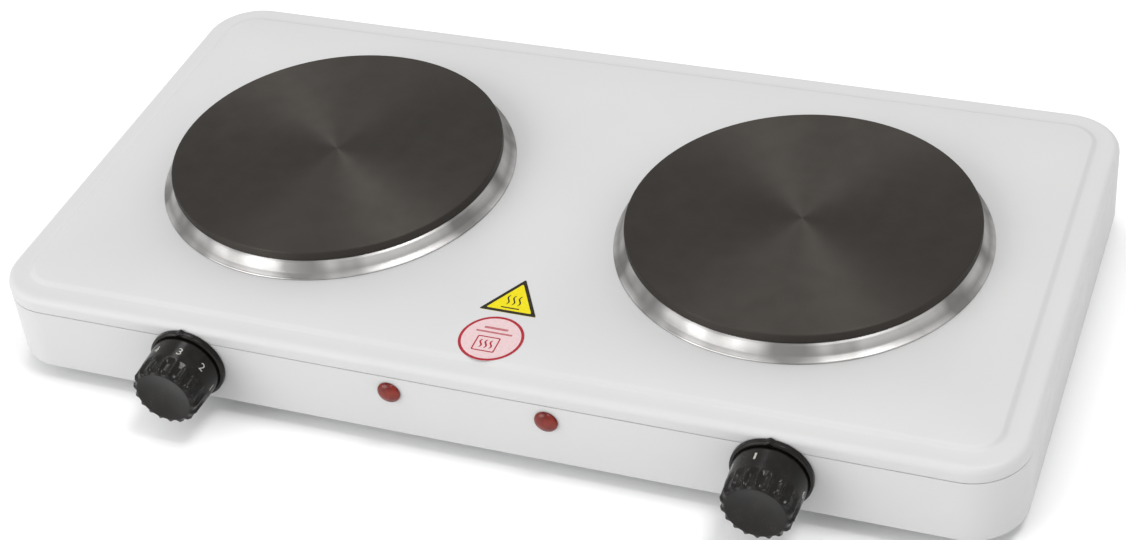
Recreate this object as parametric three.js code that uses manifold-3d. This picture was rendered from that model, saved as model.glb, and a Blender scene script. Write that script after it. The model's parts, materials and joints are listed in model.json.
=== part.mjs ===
// Double electric hot plate: a low enamelled steel body with two cast-iron plates,
// two dial knobs and two pilot lamps in the front wall.
// Millimetres, +Z up, +X to the right, -Y to the front. The origin is on the surface
// that the feet stand on, at the centre of the overall box.
import * as THREE from 'three';
import { mergeVertices } from 'three/addons/utils/BufferGeometryUtils.js';
import Module from 'manifold-3d';

const wasm = await Module();
wasm.setup();

// ---- driving dimensions -------------------------------------------------------
const gap = 0.3;                 // clearance between touching pieces
const sheet = 1.0;               // steel sheet of the casing
const bodyLength = 463.2;        // along X
const bodyDepth = 243.2;         // along Y, without knobs and gland
const bodyCorner = 25;           // plan radius of the body corners
const panelZ = 48.2;             // raised top surface
const shellBottomZ = 8;          // lower edge of the body wall
const seamDrop = 8.5;            // cover skirt below the panel
const rimDrop = 1.2;             // rim band below the panel
const rimBand = 11;              // width of the rim band
const plateauCorner = 17;
const edgeRadius = 3;            // rounding of the cover's outer edge

const plateRadius = 77.5;        // cast-iron plate, 155 mm across
const plateTop = 11.4;           // above the panel
const plateWall = 4.4;           // visible height of the plate's rim
const plateOffset = 111.6;       // plate centres either side of the middle
const ringRadius = 82.8;         // outer edge of the spill ring
const holeRadius = 77;           // panel opening under the ring
const coilTurns = 2.5;
const plateSegments = 44;        // facets round the plate and its ring

const knobOffset = 132.6;
const knobDrop = 20.8;           // dial axis below the panel
const knobLength = 21.2;
const knobSkirtRadius = 16;
const knobGripRadius = 15.1;
const knobFaceRadius = 13.6;
const knobSkirtLength = 12;
const fluteCount = 18;
const fluteDepth = 0.8;
const bezelRadius = 17.6;
const bezelThickness = 2.8;
const bezelBore = 9.2;
const pipHeight = 1;
const shaftRadius = 3;
const shaftLength = 44;
const shaftFlat = 2;             // flat of the shaft from its axis
const shaftReach = 17.6;         // in front of the wall
const thermostatDepth = 33.6;    // its rear face behind the front wall
const thermostatWidth = 30;
const thermostatHeight = 24;
const bushRadius = 5;

const lampOffset = 35.7;
const lampDrop = 16.7;
const lampRadius = 5.2;
const lampNeck = 0.8;            // step from the lens rim to the part inside the wall

const glandZ = 26;
const glandReach = 9.4;          // beyond the rear wall
const glandBore = 3.8;
const glandHoleRadius = 6.3;
const glandFlangeRadius = 8.5;

const footRadius = 9;
const footX = 200;
const footY = 92;
const footSeatZ = 4.5;           // seat of the foot screw's head
const screwX = 150;              // screws that hold the base to the cover
const screwY = 111;
const screwHoleRadius = 2.2;
const screwHeadRadius = 3.4;
const screwShankRadius = 1.9;
const screwHeadHeight = 2;
const lugLength = 16;            // tabs of the body wall that those screws go through
const lugReach = 18;
const earthX = 34;
const earthY = 84;
const earthHeadRadius = 4;

const rearVentWidth = 3;
const rearVentHeight = 14;
const rearVentPitch = 9;
const rearVentStart = 70;        // first slot from the middle
const rearVentCount = 6;         // on each side
const rearVentZ = 24;
const floorVentWidth = 3.2;
const floorVentLength = 34;
const floorVentPitch = 14;
const floorVentY = 27;           // either side of the plate's centre line

const terminalY = 45;            // ceramic terminal behind each plate's centre
const terminalLength = 30;
const terminalWidth = 14;
const terminalHeight = 11;
const mainsY = 80;               // mains terminal block in front of the gland
const mainsLength = 36;
const mainsWidth = 16;
const mainsHeight = 14;
const mainsWireGap = 12;
const leadRadius = 1.3;

const triangleSide = 26.8;
const trianglePlace = [3.5, -79.2];
const roundLabelRadius = 14.2;
const roundLabelPlace = [2.9, -96.3];
const labelThickness = 0.2;

// ---- places worked out from them ----------------------------------------------
const halfLength = bodyLength / 2;
const halfDepth = bodyDepth / 2;
const rimZ = panelZ - rimDrop;
const seamZ = panelZ - seamDrop;
const floorTopZ = shellBottomZ + sheet;
const knobZ = panelZ - knobDrop;
const lampZ = panelZ - lampDrop;
const baseScrewZ = shellBottomZ - gap - screwHeadHeight;
const knobReach = gap + bezelThickness + gap + knobLength;
const bodyShiftY = (knobReach - glandReach) / 2;
const terminalZ = panelZ - 16.2; // wireways of the plate terminals
const mainsZ = floorTopZ + gap + mainsHeight / 2;
const sides = { left: -1, right: 1 };

// ---- materials ----------------------------------------------------------------
function paint(color, roughness, metalness) {
  return new THREE.MeshStandardMaterial({ color, roughness, metalness });
}

const finishes = {
  enamel: () => paint(0xf2f2f0, 0.35, 0.1),
  galvanised: () => paint(0xb4b8ba, 0.45, 0.8),
  iron: () => paint(0x4a4541, 0.6, 0.4),
  steel: () => paint(0xc4c4c2, 0.3, 0.95),
  blackPlastic: () => paint(0x26262a, 0.45, 0),
  ceramic: () => paint(0xe6ddca, 0.6, 0),
  fibre: () => paint(0xcfc8b4, 0.95, 0),
  brass: () => paint(0xb08d4a, 0.35, 0.9),
  lens: () => paint(0xc8451e, 0.15, 0),
  glass: () => paint(0xf0c9a8, 0.1, 0),
  rubber: () => paint(0x1c1c1c, 0.85, 0),
  label: () => paint(0xf4e13a, 0.5, 0),
  caution: () => paint(0xf6dede, 0.5, 0),
  redLead: () => paint(0xa8322a, 0.6, 0),
  blueLead: () => paint(0x2e4f93, 0.6, 0),
  greyLead: () => paint(0xd8d4cc, 0.7, 0),
};

// ---- solid helpers ------------------------------------------------------------
function toSolid(geometry) {
  const bare = geometry.clone();
  bare.deleteAttribute('normal');
  bare.deleteAttribute('uv');
  const merged = mergeVertices(bare, 1e-4);
  const corners = merged.index.array;
  const kept = [];
  for (let i = 0; i < corners.length; i += 3) {
    const [a, b, c] = [corners[i], corners[i + 1], corners[i + 2]];
    if (a !== b && b !== c && c !== a) kept.push(a, b, c);
  }
  return new wasm.Manifold(new wasm.Mesh({
    numProp: 3,
    vertProperties: new Float32Array(merged.attributes.position.array),
    triVerts: new Uint32Array(kept),
  }));
}

function toGeometry(solid) {
  const mesh = solid.getMesh();
  const geometry = new THREE.BufferGeometry();
  geometry.setAttribute('position', new THREE.BufferAttribute(mesh.vertProperties, 3));
  geometry.setIndex(new THREE.BufferAttribute(mesh.triVerts, 1));
  geometry.computeVertexNormals();
  return geometry;
}

function join(...geometries) {
  return toGeometry(geometries.map(toSolid).reduce((sum, next) => sum.add(next)));
}

function cut(base, ...tools) {
  return toGeometry(tools.map(toSolid).reduce((rest, tool) => rest.subtract(tool), toSolid(base)));
}

// ---- shape helpers ------------------------------------------------------------
function roundedRectangle(halfX, halfY, radius) {
  const shape = new THREE.Shape();
  const right = halfX - radius;
  const back = halfY - radius;
  shape.absarc(right, back, radius, 0, Math.PI / 2, false);
  shape.absarc(-right, back, radius, Math.PI / 2, Math.PI, false);
  shape.absarc(-right, -back, radius, Math.PI, 1.5 * Math.PI, false);
  shape.absarc(right, -back, radius, 1.5 * Math.PI, 2 * Math.PI, false);
  return shape;
}

// A flat slab from z = low to z = high. edge rounds its rims by that much.
function slab(shape, low, high, edge = 0, steps = 5) {
  const geometry = new THREE.ExtrudeGeometry(shape, {
    depth: high - low - 2 * edge,
    curveSegments: steps,
    bevelEnabled: edge > 0,
    bevelThickness: edge,
    bevelSize: edge,
    bevelOffset: -edge,
    bevelSegments: 2,
  });
  return geometry.translate(0, 0, low + edge);
}

function plateOf(halfX, halfY, radius, low, high) {
  return slab(roundedRectangle(halfX, halfY, radius), low, high);
}

function block(sizeX, sizeY, sizeZ, x = 0, y = 0, z = 0) {
  return new THREE.BoxGeometry(sizeX, sizeY, sizeZ).translate(x, y, z);
}

// Profiles are [radius, height] pairs, walked anticlockwise.
function turnedAboutY(profile, segments) {
  return new THREE.LatheGeometry(profile.map(([r, h]) => new THREE.Vector2(r, h)), segments);
}

function turnedAboutZ(profile, segments) {
  return turnedAboutY(profile, segments).rotateX(Math.PI / 2);
}

function closed(profile) {
  return [...profile, profile[0]];
}

function rodZ(radius, low, high, segments = 12) {
  return turnedAboutZ([[0, low], [radius, low], [radius, high], [0, high]], segments);
}

function rodY(radius, low, high, segments = 12) {
  return turnedAboutY([[0, low], [radius, low], [radius, high], [0, high]], segments);
}

function rodX(radius, length, y, z, segments = 12) {
  return rodZ(radius, -length / 2, length / 2, segments).rotateY(Math.PI / 2).translate(0, y, z);
}

function washerShape(outline, boreRadius) {
  const bore = new THREE.Path();
  bore.absarc(0, 0, boreRadius, 0, 2 * Math.PI, true);
  outline.holes.push(bore);
  return outline;
}

function hexShape(acrossCorners) {
  const shape = new THREE.Shape();
  for (let i = 0; i < 6; i += 1) {
    const angle = (i * Math.PI) / 3;
    const x = (acrossCorners / 2) * Math.cos(angle);
    const y = (acrossCorners / 2) * Math.sin(angle);
    if (i === 0) shape.moveTo(x, y);
    else shape.lineTo(x, y);
  }
  shape.closePath();
  return shape;
}

function circleShape(radius) {
  return new THREE.Shape().absarc(0, 0, radius, 0, 2 * Math.PI, false);
}

// A shape drawn in X and up, pushed forwards (towards -Y) from y = 0.
function pushedForward(shape, depth, steps = 6) {
  return new THREE.ExtrudeGeometry(shape, {
    depth,
    curveSegments: steps,
    bevelEnabled: false,
  }).rotateX(Math.PI / 2);
}

// ---- casing -------------------------------------------------------------------
function topCover() {
  const skirtBottom = seamZ;
  const outline = roundedRectangle(halfLength, halfDepth, bodyCorner);
  const rim = slab(outline, skirtBottom - edgeRadius, rimZ, edgeRadius);
  const plateau = slab(
    roundedRectangle(halfLength - rimBand, halfDepth - rimBand, plateauCorner),
    rimZ - 2 * rimDrop, panelZ, rimDrop,
  );
  const belowSkirt = plateOf(bodyLength, bodyDepth, bodyCorner, skirtBottom - 20, skirtBottom);
  const underRim = plateOf(
    halfLength - sheet, halfDepth - sheet, bodyCorner - sheet, skirtBottom - 5, rimZ - sheet,
  );
  const underPanel = plateOf(
    halfLength - rimBand - 2 * sheet, halfDepth - rimBand - 2 * sheet, plateauCorner - sheet,
    skirtBottom, panelZ - sheet,
  );
  const openings = Object.values(sides).map((side) => rodZ(holeRadius, seamZ, panelZ + 5, plateSegments)
    .translate(side * plateOffset, 0, 0));
  return cut(join(rim, plateau), belowSkirt, underRim, underPanel, ...openings);
}

// Upright slots in the rear wall, one row on each side of the gland.
function rearVents() {
  const slots = [];
  for (const side of Object.values(sides)) {
    for (let i = 0; i < rearVentCount; i += 1) {
      const x = side * (rearVentStart + rearVentPitch * i);
      slots.push(block(rearVentWidth, 10, rearVentHeight, x, halfDepth, rearVentZ));
    }
  }
  return slots;
}

function screwHole(low, high) {
  return rodZ(screwHoleRadius, low, high, 12);
}

function baseShell() {
  const inner = [halfLength - sheet, halfDepth - sheet, bodyCorner - sheet];
  const lip = [inner[0] - gap, inner[1] - gap, inner[2] - gap];
  const wall = cut(
    plateOf(halfLength, halfDepth, bodyCorner, shellBottomZ, seamZ - gap),
    plateOf(...inner, 0, seamZ - 4),
    plateOf(lip[0] - sheet, lip[1] - sheet, lip[2] - sheet, 0, panelZ),
  );
  const nested = cut(
    plateOf(...lip, seamZ - 4, rimZ - 2),
    plateOf(lip[0] - sheet, lip[1] - sheet, lip[2] - sheet, 0, panelZ),
  );
  const lugZ = floorTopZ + gap + sheet / 2;
  const lugs = [];
  const drillings = [];
  for (const sx of [-1, 1]) {
    for (const sy of [-1, 1]) {
      lugs.push(block(lugLength, lugReach, sheet, sx * screwX, sy * (halfDepth - lugReach / 2), lugZ));
      drillings.push(screwHole(lugZ - 4, lugZ + 4).translate(sx * screwX, sy * screwY, 0));
    }
    drillings.push(rodY(bushRadius + 0.4, -4, 4).translate(sx * knobOffset, -halfDepth, knobZ));
    drillings.push(rodY(lampRadius - lampNeck + gap, -4, 4).translate(sx * lampOffset, -halfDepth, lampZ));
  }
  drillings.push(rodY(glandHoleRadius, -4, 4).translate(0, halfDepth, glandZ));
  return cut(join(wall, nested, ...lugs), ...drillings, ...rearVents());
}

function bottomPlate() {
  const inset = sheet + gap;
  const sheetMetal = plateOf(
    halfLength - inset, halfDepth - inset, bodyCorner - inset, shellBottomZ, floorTopZ,
  );
  const holes = [];
  for (const sx of [-1, 1]) {
    for (const sy of [-1, 1]) {
      holes.push(screwHole(0, 20).translate(sx * footX, sy * footY, 0));
      holes.push(screwHole(0, 20).translate(sx * screwX, sy * screwY, 0));
    }
    for (let i = -3; i <= 3; i += 1) {
      for (const sy of [-1, 1]) {
        const x = sx * plateOffset + floorVentPitch * i;
        holes.push(block(floorVentWidth, floorVentLength, 8, x, sy * floorVentY, shellBottomZ));
      }
    }
  }
  holes.push(screwHole(0, 20).translate(earthX, earthY, 0));
  return cut(sheetMetal, ...holes);
}

// ---- one hot plate, heights counted from the panel -----------------------------
const ringTop = plateTop - plateWall - gap;
const castRadius = 75.5;         // body of the casting under the rim
const castHollow = 71;           // bore of the casting's skirt
const castUnderside = 5;
const castSkirt = -2;
const coilPitchRadius = 28;      // innermost turn of the coil
const coilSpread = 36;
const padRadius = 70;
const padUnderside = -8.7;
const shieldRadius = 75;
const shieldUnder = -9.8;
const shieldThick = 0.8;
const barThick = 1.5;
const nutHeight = 5;

function hotplate() {
  return turnedAboutZ([
    [0, castUnderside],
    [castHollow, castUnderside],
    [castHollow, castSkirt],
    [castRadius, castSkirt],
    [castRadius, plateTop - plateWall],
    [plateRadius, plateTop - plateWall],
    [plateRadius, plateTop - 0.8],
    [plateRadius - 0.8, plateTop],
    [0, plateTop],
  ], plateSegments);
}

function spillRing() {
  const collar = castRadius + gap;
  return turnedAboutZ(closed([
    [collar, -2.4],
    [collar + 0.8, -2.4],
    [collar + 0.8, ringTop - 1.1],
    [ringRadius - 0.9, gap],
    [ringRadius, gap],
    [ringRadius, gap + 0.6],
    [plateRadius + 0.4, ringTop],
    [collar, ringTop],
  ]), plateSegments);
}

function heatingCoil() {
  const points = [];
  const pointsPerTurn = 8;
  const count = coilTurns * pointsPerTurn;
  for (let i = 0; i <= count; i += 1) {
    const angle = (2 * Math.PI * i) / pointsPerTurn;
    const radius = coilPitchRadius + (coilSpread * i) / count;
    points.push(new THREE.Vector3(radius * Math.cos(angle), radius * Math.sin(angle), 2.8));
  }
  return new THREE.ExtrudeGeometry(circleShape(1.6), {
    steps: 40,
    curveSegments: 3,
    extrudePath: new THREE.CatmullRomCurve3(points),
  });
}

function insulationPad() {
  return turnedAboutZ(closed([
    [5, padUnderside], [padRadius, padUnderside], [padRadius, 0.8], [5, 0.8],
  ]), 24);
}

function heatShield() {
  const inside = shieldRadius - shieldThick;
  return turnedAboutZ(closed([
    [shaftRadius + 0.4, shieldUnder], [shieldRadius - 2.5, shieldUnder],
    [shieldRadius, shieldUnder + 2.3], [shieldRadius, castSkirt - gap],
    [inside, castSkirt - gap], [inside, shieldUnder + 2.6],
    [inside - 2, shieldUnder + shieldThick], [shaftRadius + 0.4, shieldUnder + shieldThick],
  ]), 32);
}

function clampBar() {
  const under = shieldUnder - gap;
  const panelUnder = -sheet - gap;
  const half = [
    [82.5, under], [82.5, panelUnder], [91, panelUnder], [91, panelUnder - barThick],
    [84, panelUnder - barThick], [84, under - barThick],
  ];
  const shape = new THREE.Shape();
  half.forEach(([x, z], i) => (i === 0 ? shape.moveTo(x, z) : shape.lineTo(x, z)));
  [...half].reverse().forEach(([x, z]) => shape.lineTo(-x, z));
  shape.closePath();
  const bar = pushedForward(shape, 16).translate(0, 8, 0);
  return cut(bar, rodZ(shaftRadius + 0.4, -20, 0, 12));
}

function centreStud() {
  return rodZ(shaftRadius, -20, castUnderside - gap, 16);
}

function clampNut() {
  const low = shieldUnder - 2 * gap - barThick - nutHeight;
  return slab(washerShape(hexShape(11.5), shaftRadius + gap), low, low + nutHeight, 0, 4);
}

function plateTerminal() {
  const z = shieldUnder - gap - terminalHeight / 2;
  const body = block(terminalLength, terminalWidth, terminalHeight, 0, terminalY, z);
  return cut(body, rodX(2.2, terminalLength + 10, terminalY, terminalZ - panelZ));
}

// ---- dial assembly, counted from the front wall, forwards is -Y -----------------
function dialBezel() {
  const shape = new THREE.Shape();
  const halfAngle = 1.8 / bezelRadius;
  shape.absarc(0, 0, bezelRadius, Math.PI / 2 + halfAngle, Math.PI / 2 - halfAngle + 2 * Math.PI, false);
  shape.lineTo(0, bezelRadius + pipHeight);
  shape.closePath();
  return pushedForward(washerShape(shape, bezelBore), bezelThickness, 16).translate(0, -gap, 0);
}

function flutedShape() {
  const shape = new THREE.Shape();
  const steps = fluteCount * 3;
  for (let i = 0; i < steps; i += 1) {
    const angle = (2 * Math.PI * i) / steps;
    const radius = knobGripRadius - fluteDepth * (0.5 - 0.5 * Math.cos(fluteCount * angle));
    const x = radius * Math.cos(angle);
    const z = radius * Math.sin(angle);
    if (i === 0) shape.moveTo(x, z);
    else shape.lineTo(x, z);
  }
  shape.closePath();
  return shape;
}

function flatShaftShape(radius, flat) {
  const half = Math.acos(flat / radius);
  const shape = new THREE.Shape();
  shape.absarc(0, 0, radius, Math.PI / 2 + half, Math.PI / 2 - half + 2 * Math.PI, false);
  shape.closePath();
  return shape;
}

function dialKnob() {
  const skirt = turnedAboutY([
    [0, -knobSkirtLength], [knobGripRadius - fluteDepth - 0.4, -knobSkirtLength],
    [knobGripRadius + 0.3, -knobSkirtLength], [knobSkirtRadius, -0.6],
    [knobSkirtRadius - 0.6, 0], [0, 0],
  ], 36);
  const grip = pushedForward(flutedShape(), knobLength - knobSkirtLength - 0.4)
    .translate(0, -knobSkirtLength + 0.6, 0);
  const face = turnedAboutY([
    [0, -knobLength], [knobFaceRadius - 0.6, -knobLength], [knobFaceRadius, -knobLength + 1.5],
    [0, -knobLength + 1.5],
  ], 36);
  const recess = pushedForward(washerShape(circleShape(13), 6), 12, 8).translate(0, 1, 0);
  const bushRoom = rodY(9.4, -1.4, 1, 16);
  const bore = pushedForward(flatShaftShape(shaftRadius + gap, shaftFlat + gap), 15, 8).translate(0, 0.5, 0);
  return cut(join(skirt, grip, face), recess, bushRoom, bore);
}

function dialShaft() {
  return pushedForward(flatShaftShape(shaftRadius, shaftFlat), shaftLength, 8);
}

function thermostat() {
  const size = thermostatHeight;
  const body = block(thermostatWidth, size, size, 0, thermostatDepth - size / 2, 0);
  const bush = rodY(bushRadius, -3.2, 12, 20);
  const bore = rodY(shaftRadius + gap, -8, 28);
  return cut(join(body, bush), bore);
}

function thermostatNut() {
  return pushedForward(washerShape(hexShape(16), bushRadius + gap), 2.2, 5).translate(0, -gap, 0);
}

// ---- pilot lamp, counted from the front wall ------------------------------------
function lampLens() {
  const lampBore = lampRadius - lampNeck - 0.9;
  return turnedAboutY([
    [0, -2.9], [2.6, -2.6], [4.4, -1.6], [lampRadius, -gap], [lampRadius - lampNeck, -gap],
    [lampRadius - lampNeck, 6], [lampBore, 6], [lampBore, -0.5], [2.2, -1.5], [0, -1.9],
  ], 16);
}

function neonBulb() {
  return turnedAboutY([[0, 0.2], [1.6, 0.6], [2.7, 2.2], [2.7, 15], [0, 15]], 10);
}

// ---- mains inlet ----------------------------------------------------------------
function cordGland() {
  return turnedAboutY(closed([
    [glandBore, -4.3], [8, -4.3], [8, -1.3], [glandHoleRadius - gap, -1.3],
    [glandHoleRadius - gap, gap], [glandFlangeRadius, gap], [glandFlangeRadius, 3],
    [6.4, glandReach], [glandBore, glandReach],
  ]), 20);
}

function mainsTerminal() {
  const body = block(mainsLength, mainsWidth, mainsHeight, 0, mainsY, mainsZ);
  const wireways = [-mainsWireGap, 0, mainsWireGap]
    .map((x) => rodY(2.4, mainsY - 20, mainsY + 20, 12).translate(x, 0, mainsZ));
  return cut(body, ...wireways);
}

// ---- feet and screws --------------------------------------------------------------
function rubberFoot() {
  const top = shellBottomZ - gap;
  return turnedAboutZ(closed([
    [screwHeadRadius + 0.8, 0], [footRadius - 1.2, 0], [footRadius, top],
    [screwHoleRadius, top], [screwHoleRadius, footSeatZ], [screwHeadRadius + 0.8, footSeatZ],
  ]), 16);
}

function screwFrom(headLow, headRadius, shankTop) {
  return turnedAboutZ([
    [0, headLow], [headRadius, headLow], [headRadius, headLow + screwHeadHeight],
    [screwShankRadius, headLow + screwHeadHeight], [screwShankRadius, shankTop], [0, shankTop],
  ], 8);
}

// ---- labels on the panel ------------------------------------------------------------
function triangleLabel() {
  const height = (triangleSide * Math.sqrt(3)) / 2;
  const shape = new THREE.Shape();
  shape.moveTo(-triangleSide / 2, 0);
  shape.lineTo(triangleSide / 2, 0);
  shape.lineTo(0, height);
  shape.closePath();
  return slab(shape, gap, gap + labelThickness);
}

function roundLabel() {
  return slab(circleShape(roundLabelRadius), gap, gap + labelThickness, 0, 12);
}

// ---- internal leads -------------------------------------------------------------------
function lead(route) {
  const points = route.map(([x, y, z]) => new THREE.Vector3(x, y, z));
  return new THREE.ExtrudeGeometry(circleShape(leadRadius), {
    steps: 16,
    curveSegments: 3,
    extrudePath: new THREE.CatmullRomCurve3(points),
  });
}

// Each lead leaves its terminal straight for a few millimetres before it bends.
const leadGap = 0.5;
const thermostatRearY = -halfDepth + thermostatDepth + leadGap;
function liveRoute(s) {
  return [
    [s * mainsWireGap, mainsY - mainsWidth / 2 - leadGap, mainsZ],
    [s * mainsWireGap, mainsY - 14, mainsZ], [s * 18, 50, 14], [s * 40, 0, 13],
    [s * 90, -60, 14], [s * 124, -80, 22], [s * 125, thermostatRearY + 3, 22],
    [s * 125, thermostatRearY, 22],
  ];
}

function loadRoute(s) {
  const entry = plateOffset + terminalLength / 2 + leadGap;
  return [
    [s * 140, thermostatRearY, 22], [s * 140, thermostatRearY + 3, 22], [s * 146, -72, 18],
    [s * 166, -30, 14], [s * 166, 20, 16], [s * 146, terminalY - 1, 30],
    [s * (entry + 4), terminalY, terminalZ], [s * entry, terminalY, terminalZ],
  ];
}

function neutralRoute(s) {
  const exit = plateOffset - terminalLength / 2 - leadGap;
  return [
    [s * exit, terminalY, terminalZ], [s * (exit - 4), terminalY, terminalZ],
    [s * 76, 50, 26], [s * 56, 66, 18], [s * 30, mainsY, mainsZ], [s * 24, mainsY, mainsZ],
    [s * (mainsLength / 2 + leadGap), mainsY, mainsZ],
  ];
}

// ---- assembly -----------------------------------------------------------------------------
const appliance = new THREE.Group();
appliance.position.set(0, bodyShiftY, 0);

function place(parent, name, geometry, material, x = 0, y = 0, z = 0) {
  const mesh = new THREE.Mesh(geometry, material());
  mesh.name = name;
  mesh.position.set(x, y, z);
  parent.add(mesh);
  return mesh;
}

function groupAt(x, y, z) {
  const group = new THREE.Group();
  group.position.set(x, y, z);
  appliance.add(group);
  return group;
}

place(appliance, 'top_cover', topCover(), finishes.enamel);
place(appliance, 'base_shell', baseShell(), finishes.enamel);
place(appliance, 'bottom_plate', bottomPlate(), finishes.galvanised);

for (const [name, side] of Object.entries(sides)) {
  const burner = groupAt(side * plateOffset, 0, panelZ);
  place(burner, `hotplate_${name}`, hotplate(), finishes.iron);
  place(burner, `spill_ring_${name}`, spillRing(), finishes.steel);
  place(burner, `heating_coil_${name}`, heatingCoil(), finishes.steel);
  place(burner, `insulation_pad_${name}`, insulationPad(), finishes.fibre);
  place(burner, `heat_shield_${name}`, heatShield(), finishes.galvanised);
  place(burner, `clamp_bar_${name}`, clampBar(), finishes.steel);
  place(burner, `centre_stud_${name}`, centreStud(), finishes.steel);
  place(burner, `clamp_nut_${name}`, clampNut(), finishes.steel);
  place(burner, `plate_terminal_${name}`, plateTerminal(), finishes.ceramic);

  const dial = groupAt(side * knobOffset, -halfDepth, knobZ);
  const knobBack = -gap - bezelThickness - gap;
  place(dial, `dial_bezel_${name}`, dialBezel(), finishes.blackPlastic);
  place(dial, `dial_knob_${name}`, dialKnob(), finishes.blackPlastic, 0, knobBack, 0);
  place(dial, `dial_shaft_${name}`, dialShaft(), finishes.brass,
    0, shaftLength - shaftReach, 0);
  place(dial, `thermostat_${name}`, thermostat(), finishes.ceramic);
  place(dial, `thermostat_nut_${name}`, thermostatNut(), finishes.steel);

  const lamp = groupAt(side * lampOffset, -halfDepth, lampZ);
  place(lamp, `lamp_lens_${name}`, lampLens(), finishes.lens);
  place(lamp, `neon_bulb_${name}`, neonBulb(), finishes.glass);

  place(appliance, `live_lead_${name}`, lead(liveRoute(side)), finishes.redLead);
  place(appliance, `load_lead_${name}`, lead(loadRoute(side)), finishes.greyLead);
  place(appliance, `neutral_lead_${name}`, lead(neutralRoute(side)), finishes.blueLead);
}

place(appliance, 'cord_gland', cordGland(), finishes.rubber, 0, halfDepth, glandZ);
place(appliance, 'mains_terminal', mainsTerminal(), finishes.ceramic);
place(appliance, 'earth_screw', screwFrom(baseScrewZ, earthHeadRadius, 16), finishes.brass,
  earthX, earthY, 0);
place(appliance, 'heat_label', triangleLabel(), finishes.label,
  ...trianglePlace, panelZ);
place(appliance, 'caution_label', roundLabel(), finishes.caution,
  ...roundLabelPlace, panelZ);

for (const [xName, sx] of Object.entries(sides)) {
  for (const [yName, sy] of Object.entries({ front: -1, back: 1 })) {
    const corner = `${yName}_${xName}`;
    place(appliance, `foot_${corner}`, rubberFoot(), finishes.rubber, sx * footX, sy * footY, 0);
    const footScrew = screwFrom(footSeatZ - gap - screwHeadHeight, screwHeadRadius, 14);
    place(appliance, `foot_screw_${corner}`, footScrew, finishes.steel, sx * footX, sy * footY, 0);
    const coverScrew = screwFrom(baseScrewZ, screwHeadRadius, 16);
    place(appliance, `cover_screw_${corner}`, coverScrew, finishes.steel, sx * screwX, sy * screwY, 0);
  }
}

export default appliance;
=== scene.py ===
"""Looks of a double electric hot plate: a white enamelled casing, two turned cast-iron plates in spun steel
rings, two ribbed dial knobs and two pilot lamps. Shapes are drawn in millimetres and placed in the
frame's metres."""
import json
import math

import bpy
from mathutils import Matrix, Vector


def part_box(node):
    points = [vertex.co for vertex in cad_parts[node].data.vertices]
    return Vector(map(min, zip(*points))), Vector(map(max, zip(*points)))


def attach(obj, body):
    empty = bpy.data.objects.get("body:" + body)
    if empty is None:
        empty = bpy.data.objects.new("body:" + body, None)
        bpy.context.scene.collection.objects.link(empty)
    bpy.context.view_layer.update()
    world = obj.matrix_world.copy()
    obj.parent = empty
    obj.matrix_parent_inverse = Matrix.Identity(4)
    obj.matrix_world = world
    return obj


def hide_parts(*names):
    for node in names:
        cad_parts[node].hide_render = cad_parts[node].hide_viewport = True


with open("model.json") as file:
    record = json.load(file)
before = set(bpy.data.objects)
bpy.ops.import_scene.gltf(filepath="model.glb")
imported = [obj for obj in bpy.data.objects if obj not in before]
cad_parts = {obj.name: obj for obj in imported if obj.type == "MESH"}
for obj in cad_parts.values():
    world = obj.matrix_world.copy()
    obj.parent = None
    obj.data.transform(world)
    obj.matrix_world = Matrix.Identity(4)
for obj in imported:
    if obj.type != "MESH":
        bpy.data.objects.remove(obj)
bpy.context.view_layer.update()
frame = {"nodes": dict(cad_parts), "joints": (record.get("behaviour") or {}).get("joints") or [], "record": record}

MM = 0.001
SHARP_ANGLE = 38                  # edges that fold by more degrees than this stay sharp
POLE_RADIUS = 1e-6                # a lathe ring smaller than this is one point
SIDES = {"left": -1, "right": 1}
CORNERS = [f"{end}_{side}" for side in SIDES for end in ("front", "back")]
# A box whose corners are listed with X changing fastest, then Y, then Z.
BOX_FACES = [(0, 2, 3, 1), (4, 5, 7, 6), (0, 1, 5, 4), (1, 3, 7, 5), (3, 2, 6, 7), (2, 0, 4, 6)]


# ---- camera ---------------------------------------------------------------------------------
CAMERA_PLACE = (0.3336, -0.7337, 0.6635)
CAMERA_AZIMUTH = 24.50            # degrees round from the front, towards +X
CAMERA_ELEVATION = 38.84
CAMERA_ROLL = -6.67
CAMERA_SENSOR = 36                # millimetres wide
CAMERA_LENS = 72.1
CAMERA_NEAR = 0.01
CAMERA_FAR = 50


def add_camera():
    data = bpy.data.cameras.new("camera")
    data.lens = CAMERA_LENS
    data.sensor_width = CAMERA_SENSOR
    data.clip_start = CAMERA_NEAR
    data.clip_end = CAMERA_FAR
    camera = bpy.data.objects.new("camera", data)
    azimuth = math.radians(CAMERA_AZIMUTH)
    elevation = math.radians(CAMERA_ELEVATION)
    level = math.cos(elevation)
    back = Vector((math.sin(azimuth) * level, -math.cos(azimuth) * level, math.sin(elevation)))
    turn = (-back).to_track_quat("-Z", "Y").to_matrix().to_4x4()
    roll = Matrix.Rotation(math.radians(CAMERA_ROLL), 4, "Z")
    camera.matrix_world = Matrix.Translation(CAMERA_PLACE) @ turn @ roll
    bpy.context.scene.collection.objects.link(camera)
    bpy.context.scene.camera = camera


# ---- places taken from the frame ------------------------------------------------------------
def centre_of(node):
    low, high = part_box(node)
    return (low + high) / 2


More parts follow.
